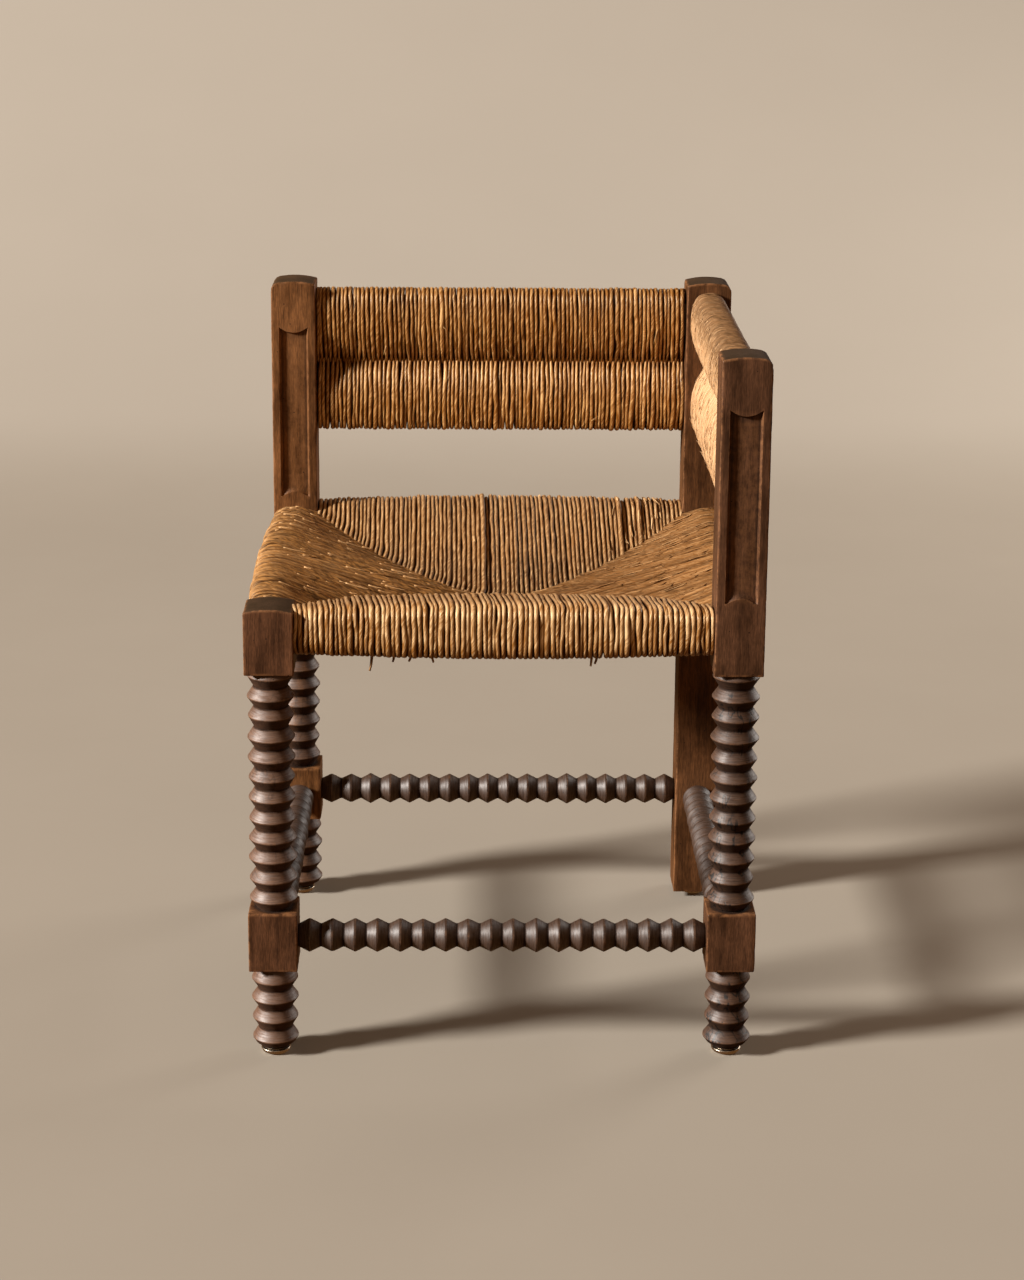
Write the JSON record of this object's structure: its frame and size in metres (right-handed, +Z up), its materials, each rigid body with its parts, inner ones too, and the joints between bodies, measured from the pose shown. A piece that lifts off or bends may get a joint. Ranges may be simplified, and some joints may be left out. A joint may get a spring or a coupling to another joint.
{
  "type": "corner chair",
  "caption": "Corner chair with ring-turned dark wood legs and stretchers, a woven rush seat and two low backs of wound rush set at a right angle.",
  "frame": {"origin": "on the floor, midway between the four posts", "axes": "+X to the sitter's front right side as seen from the front, +Y to the rear back, +Z up"},
  "size_m": [0.49, 0.457, 0.7],
  "materials": {
    "dark_wood": "waxed, worn on the edges",
    "rail_wood": "raw",
    "rush": "dry twisted rush cord",
    "glide_metal": "worn nickel"
  },
  "bodies": {
    "root": {"front_left_leg": "dark_wood", "front_right_leg": "dark_wood", "back_left_leg": "dark_wood", "corner_post": "dark_wood", "front_stretcher": "dark_wood", "rear_stretcher": "dark_wood", "left_stretcher": "dark_wood", "right_stretcher": "dark_wood", "front_seat_rail": "rail_wood", "rear_seat_rail": "rail_wood", "left_seat_rail": "rail_wood", "right_seat_rail": "rail_wood", "rear_back_top_rail": "rail_wood", "rear_back_bottom_rail": "rail_wood", "side_back_top_rail": "rail_wood", "side_back_bottom_rail": "rail_wood", "front_seat_rush": "rush", "rear_seat_rush": "rush", "left_seat_rush": "rush", "right_seat_rush": "rush", "rear_back_rush": "rush", "side_back_rush": "rush", "foot_glides": "glide_metal"}
  },
  "joints": []
}
